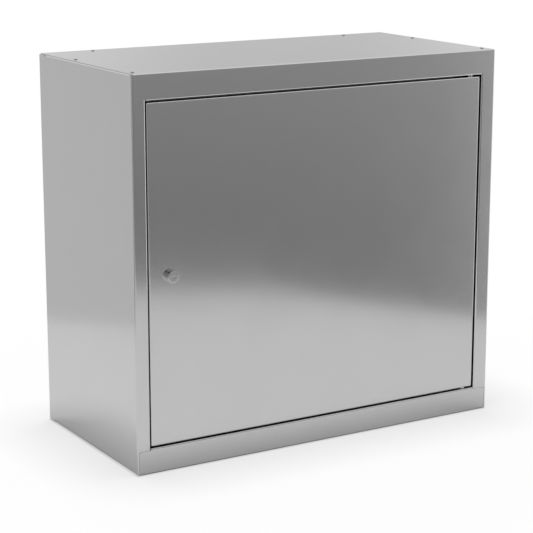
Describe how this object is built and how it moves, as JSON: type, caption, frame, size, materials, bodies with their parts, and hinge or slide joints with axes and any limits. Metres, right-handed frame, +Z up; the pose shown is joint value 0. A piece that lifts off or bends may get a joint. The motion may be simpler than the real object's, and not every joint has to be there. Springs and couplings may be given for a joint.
{
  "type": "wall cupboard",
  "caption": "Stainless steel wall cupboard with an inset door on pivot pins, a cam lock and a loose shelf on slotted strips.",
  "frame": {"origin": "centre of the whole part's box in X and Y, on the underside of the base", "axes": "+X to the right seen from the front, +Y from the front to the wall, +Z up"},
  "size_m": [0.65, 0.329, 0.6012],
  "materials": {
    "satin_steel": "satin",
    "bright_steel": "bright",
    "zinc_steel": "zinc plated",
    "grey_nylon": "matt",
    "black_rubber": "matt"
  },
  "bodies": {
    "carcass": {"left_side_panel": "satin_steel", "right_side_panel": "satin_steel", "top_panel": "satin_steel", "bottom_panel": "satin_steel", "back_panel": "satin_steel", "top_rivet_1": "bright_steel", "top_rivet_2": "bright_steel", "top_rivet_3": "bright_steel", "top_rivet_4": "bright_steel", "top_rivet_5": "bright_steel", "top_rivet_6": "bright_steel", "upper_hinge_plate": "zinc_steel", "lower_hinge_plate": "zinc_steel", "upper_hinge_bush": "grey_nylon", "lower_hinge_bush": "grey_nylon", "upper_buffer": "black_rubber", "lower_buffer": "black_rubber", "front_left_strip": "satin_steel", "rear_left_strip": "satin_steel", "front_right_strip": "satin_steel", "rear_right_strip": "satin_steel", "front_left_clip": "zinc_steel", "rear_left_clip": "zinc_steel", "front_right_clip": "zinc_steel", "rear_right_clip": "zinc_steel", "shelf": "satin_steel"},
    "door": {"door_panel": "satin_steel", "door_stiffener": "satin_steel", "upper_door_bracket": "zinc_steel", "lower_door_bracket": "zinc_steel", "upper_hinge_pin": "bright_steel", "lower_hinge_pin": "bright_steel", "lock_body": "bright_steel", "lock_nut": "zinc_steel"},
    "lock": {"lock_plug": "bright_steel", "lock_cam": "zinc_steel", "cam_screw": "zinc_steel"}
  },
  "joints": [
    {"name": "door_swing", "type": "hinge", "parent": "carcass", "child": "door", "pos_m": [0.2805, -0.1475, 0.3], "axis": [0, 0, 1], "range_deg": [0, 115]},
    {"name": "lock_turn", "type": "hinge", "parent": "door", "child": "lock", "pos_m": [-0.2653, -0.1555, 0.3], "axis": [0, 1, 0], "range_deg": [0, 90]}
  ]
}
